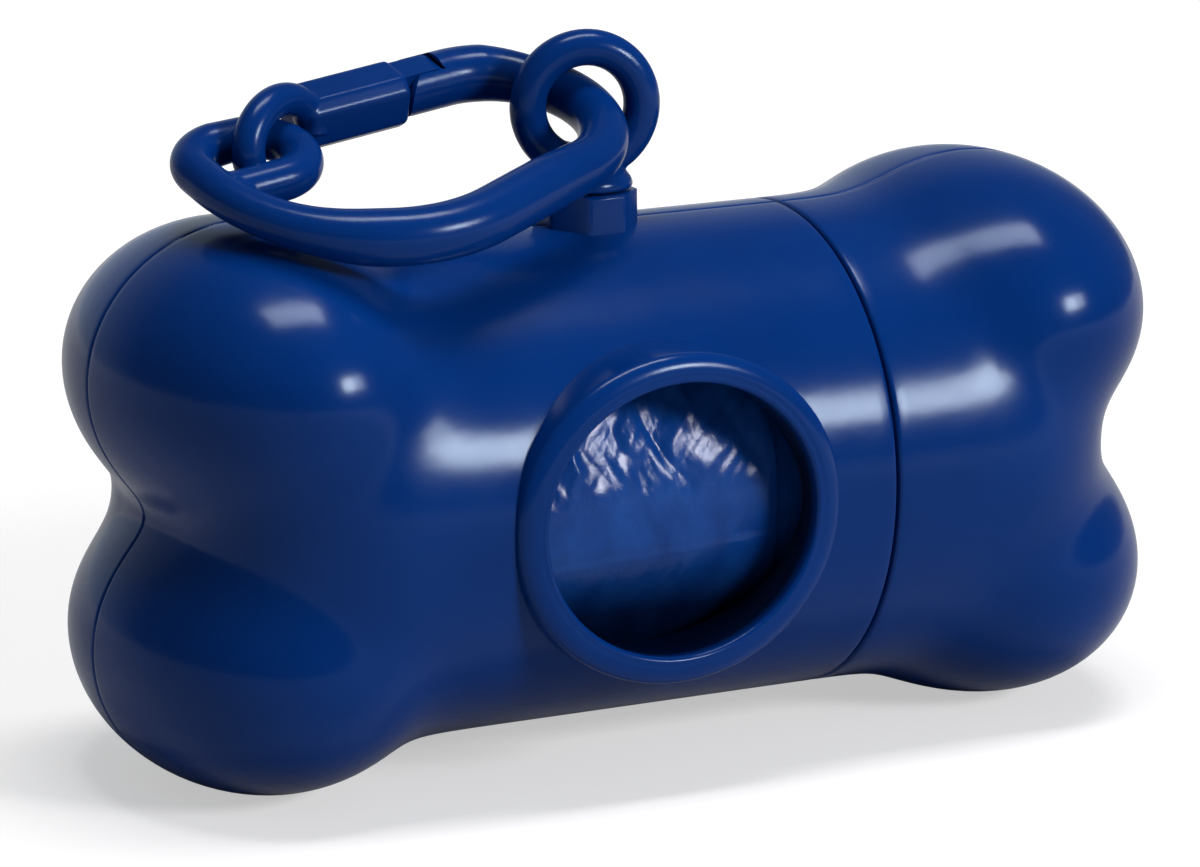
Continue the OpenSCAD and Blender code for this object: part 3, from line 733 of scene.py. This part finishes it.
# ---- Clip ----
# One moulding of round rod: the bend that hangs in the eye, a long side that bows out, a closed loop at
# the nose, and a fork for the gate, whose tips are rounded about the gate's pin.
CLIP_ROD, APEX_R, SPREAD, LONG_SIDE, BOW_R = 2.0, 8.0, 16, 10.5, 13.5
NOSE_R, NOSE_LEN, NOSE_ROD = 3.3, 2.2, 1.66
GATE_V, PIN_U, SLOT_HALF, KNUCKLE_R, PIN_HOLE_R = -8.0, 10.0, 1.33, 2.40, 0.63
lie = Matrix.Identity(3)
for degrees, axis in ((259, "Z"), (21, "Y"), (-70.2, "Z")):
    lie = lie @ Matrix.Rotation(math.radians(degrees), 3, axis)


def in_clip(u, v, n=0.0):
    """A point of the clip's own plane, in the place where the clip lies against the bone."""
    return eye_centre + lie @ Vector((u, v, n))


def bend(centre, radius, start, end, count):
    """Points along an arc in the clip's plane, between two angles in degrees."""
    return [(centre[0] + radius * math.cos(a), centre[1] + radius * math.sin(a))
            for a in np.radians(np.linspace(start, end, count))]


side_way = (math.cos(math.radians(SPREAD)), math.sin(math.radians(SPREAD)))
leave = (APEX_R - APEX_R * side_way[1], APEX_R * side_way[0])
bow_in = (leave[0] + LONG_SIDE * side_way[0], leave[1] + LONG_SIDE * side_way[1])
bow_centre = (bow_in[0] + BOW_R * side_way[1], bow_in[1] - BOW_R * side_way[0])
far = (bow_centre[0] + BOW_R - NOSE_R, GATE_V + 0.6 + NOSE_R)
near = (far[0] - NOSE_LEN, far[1])
line = [(PIN_U + t, GATE_V) for t in (3.2, 2.7, 2.2, 1.7, 1.2, 0.6)]
line += [(APEX_R + t, GATE_V) for t in (1.4, 0.7)]
line += bend((APEX_R, 0), APEX_R, 270, 90 + SPREAD, 60)
line += [(leave[0] + (bow_in[0] - leave[0]) * t, leave[1] + (bow_in[1] - leave[1]) * t)
         for t in (0.2, 0.4, 0.6, 0.8)]
line += bend(bow_centre, BOW_R, 90 + SPREAD, 0, 56)
line += bend(far, NOSE_R, 0, -90, 24)
radii, lifts = [], []
for i, (u, v) in enumerate(line):
    fuller = held((u - 4) / 6) * held((v + 6) / 6) if i > 8 else 0  # along the long side
    if v < -3:
        fuller = max(fuller, 1.1 * held((u - 2) / 3) * held((14.0 - u) / 0.9))  # at the fork
    thick = CLIP_ROD + 0.24 * fuller
    radii.append(thick + (NOSE_ROD - thick) * eased(held((u - 25) / 7.5)))
    lifts.append(0.2 * fuller)
end_of_rod = bend(near, NOSE_R, 270, 90, 48)
end_of_rod += [(near[0] + t, near[1] + NOSE_R) for t in (0.8, 1.6, 2.4, 3.2, 4.0, 4.9)]
line += end_of_rod
radii += [NOSE_ROD] * len(end_of_rod)
lifts += [0.0] * len(end_of_rod)
clip = moulded_as_one("clip_rod", [rod([in_clip(*p, n) for p, n in zip(line, lifts)], radii, 40)], 0.15, 8)


def slot_cutter(u_from, n_from, n_to):
    """A block that opens the fork, from u_from to beyond its tips."""
    corners = ((-SLOT_HALF, n_from), (SLOT_HALF, n_from), (SLOT_HALF, n_to), (-SLOT_HALF, n_to))
    ends = [[in_clip(u, GATE_V + v, n) for v, n in corners] for u in (u_from, APEX_R + 8)]
    return new_mesh("cutter", *stacked(ends))


def knuckle_cutter(radius):
    """Everything beyond a round end about the pin, so that the gate can swing past the fork's tips."""
    side = [(PIN_U + radius * math.cos(a), radius * math.sin(a))
            for a in np.radians(np.linspace(-90, 90, 41))]
    side += [(PIN_U, 4), (PIN_U + 6, 4), (PIN_U + 6, -4), (PIN_U, -4)]
    ends = [[in_clip(u, v, n) for u, n in side] for v in (GATE_V - 4, GATE_V + 4)]
    return new_mesh("cutter", *stacked(ends))


pin_way = lie @ Vector((0, 1, 0))
cut(clip, knuckle_cutter(KNUCKLE_R), slot_cutter(PIN_U - 0.97, 0.2, 4), slot_cutter(PIN_U - 0.3, -4, 0.6),
    round_cutter(in_clip(PIN_U, GATE_V + SLOT_HALF), -pin_way, 2.36, 2 * SLOT_HALF, 96),
    round_cutter(in_clip(PIN_U, GATE_V - 1.68), pin_way, PIN_HOLE_R, 3.36, 48))
clip.data.materials.append(moulded_navy("clip_navy_plastic", 0.9))
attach(clip, "clip")
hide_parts("clip_body")

# ---- Gate ----
# A flat-sided bar with softened corners. A tongue at one end turns on the pin, and a round hook at
# the other arches over the nose loop's rod and drops into its hole.
BAR_U, BAR_LEN, BAR_HALF, BAR_EDGE, BAR_SOFT, TONGUE_R = 12.5, 9.4, 2.3, 0.92, 0.30, 2.25
HOOK_R, HOOK_ROD, HOOK_LEAN, HOOK_TURN = 3.5, 1.3, math.radians(20), math.radians(21.7)


def bar_outline(half):
    """The bar's section, eight-sided with small soft corners, at a given half width."""
    inner, outline = half - BAR_EDGE, []
    corners = [Vector(p) for p in ((half, -inner), (half, inner), (inner, half), (-inner, half),
                                   (-half, inner), (-half, -inner), (-inner, -half), (inner, -half))]
    for i, corner in enumerate(corners):
        before = corner + (corners[i - 1] - corner).normalized() * BAR_SOFT
        after = corner + (corners[(i + 1) % 8] - corner).normalized() * BAR_SOFT
        outline += [(1 - t) ** 2 * before + 2 * t * (1 - t) * corner + t * t * after
                    for t in (0, 0.25, 0.5, 0.75, 1)]
    return outline


# Each step of the bar is a way along it, and how much thinner its half width is there.
bar_steps = ((0.0, 0.42), (0.10, 0.2), (0.26, 0.06), (0.45, 0.0), (2.5, 0.0), (5, 0.0),
             (BAR_LEN - 0.7, 0.0), (BAR_LEN - 0.38, 0.05), (BAR_LEN - 0.14, 0.17), (BAR_LEN, 0.38))
bar = stacked([[in_clip(BAR_U + u, GATE_V + p.x, p.y) for p in bar_outline(BAR_HALF - thinner)]
               for u, thinner in bar_steps])
hook_out = Vector((math.cos(HOOK_TURN), math.sin(HOOK_TURN), 0))
hook_up = Vector((hook_out.y, -hook_out.x, 0)) * math.sin(HOOK_LEAN)
hook_up += Vector((0, 0, 1)) * math.cos(HOOK_LEAN)
hook_centre = Vector((near[0] - NOSE_R * 0.9, near[1] - NOSE_R * 0.436, 0))
arch = [hook_centre + (0.15 + (HOOK_R + 0.55) * math.cos(a)) * hook_out
        + (HOOK_R - 0.28) * math.sin(a) * hook_up for a in np.radians(np.linspace(196, 0, 61))]
tip = [arch[-1] - hook_up * t for t in (0.35, 0.7, 0.95, 1.12, 1.22)]
hook = rod([in_clip(*p) for p in arch + tip], [HOOK_ROD] * len(arch) + [1.26, 1.10, 0.88, 0.6, 0.3], 36)


def tongue_part(name, stations, hole_r):
    """A slab of the tongue, flush with the fork's round rod, with a round end about the pin and a hole."""
    outlines = []
    for v in stations:
        flush = math.sqrt(2.26 ** 2 - (v - GATE_V) ** 2)
        top, foot = min(2.10, flush + 0.18), flush - 0.26
        round_end = [(PIN_U - TONGUE_R * math.sin(a), (top if a < math.pi / 2 else foot) * math.cos(a))
                     for a in np.radians(np.linspace(0, 180, 33))]
        side = [(BAR_U + 0.3, top), *round_end, (BAR_U + 0.3, -foot)]
        outlines.append([in_clip(u, v, n) for u, n in side])
    hole = round_cutter(in_clip(PIN_U, GATE_V - 4), pin_way, hole_r, 8, 48)
    return cut(new_mesh(name, *stacked(outlines), 30), hole)


gate = moulded_as_one("gate_bar", [bar, hook], 0.11, 5)
tongue = tongue_part("gate_tongue", (-9.25, -9.1, -8.8, -8.4, -8.0, -7.85), PIN_HOLE_R)
spring_side = tongue_part("gate_tongue_spring_side", (-7.85, -7.5, -7.2, -6.95, -6.78), 1.2)
gate_navy = moulded_navy("gate_navy_plastic", 0.9)
for piece in (gate, tongue, spring_side):
    piece.data.materials.append(gate_navy)
    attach(piece, "gate")
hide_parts("clip_gate")

# ---- Gate pin and return spring ----
# A short drawn-steel pin through the fork, and a small coil of spring wire beside the tongue.
PIN_R, PIN_HALF, WIRE_R = 0.6, 1.62, 0.18
COIL_R, COIL_LOW, COIL_HIGH, COIL_ANGLE = PIN_R + WIRE_R + 0.15, -7.55, -6.95, 3 * math.pi
steel, tree, shader, where = new_material("drawn_steel", (1000, 12000, 12000))
drawn = clouds(tree, where, Scale=1.4, Detail=4)
colour_shader(tree, drawn, (0.40, 0.40, 0.41), (0.66, 0.66, 0.67))
tree.links.new(ranged(tree, drawn, 0.0, 1.0, 0.22, 0.42), shader.inputs["Roughness"])
shader.inputs["Metallic"].default_value = 1.0
pin_steps = ((-PIN_HALF, 0.42), (-PIN_HALF + 0.05, 0.54), (-PIN_HALF + 0.14, PIN_R), (0, PIN_R),
             (PIN_HALF - 0.14, PIN_R), (PIN_HALF - 0.05, 0.54), (PIN_HALF, 0.42))
pin_line = [in_clip(PIN_U, GATE_V + t) for t, r in pin_steps]
pin = new_mesh("hinge_pin", *rod(pin_line, [r for t, r in pin_steps], 48))
pin.data.materials.append(steel)
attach(pin, "clip")
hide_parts("gate_pin")
coil = [(PIN_U - 0.9, COIL_LOW, COIL_R)]
coil += [(PIN_U + COIL_R * math.sin(a), COIL_LOW + (COIL_HIGH - COIL_LOW) * a / COIL_ANGLE,
          COIL_R * math.cos(a)) for a in np.linspace(0, COIL_ANGLE, 90)]
coil += [(PIN_U - 0.9, COIL_HIGH, -COIL_R)]
spring = new_mesh("return_spring", *rod([in_clip(*p) for p in coil], [WIRE_R] * len(coil), 14))
spring.data.materials.append(steel)
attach(spring, "gate")
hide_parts("gate_spring")
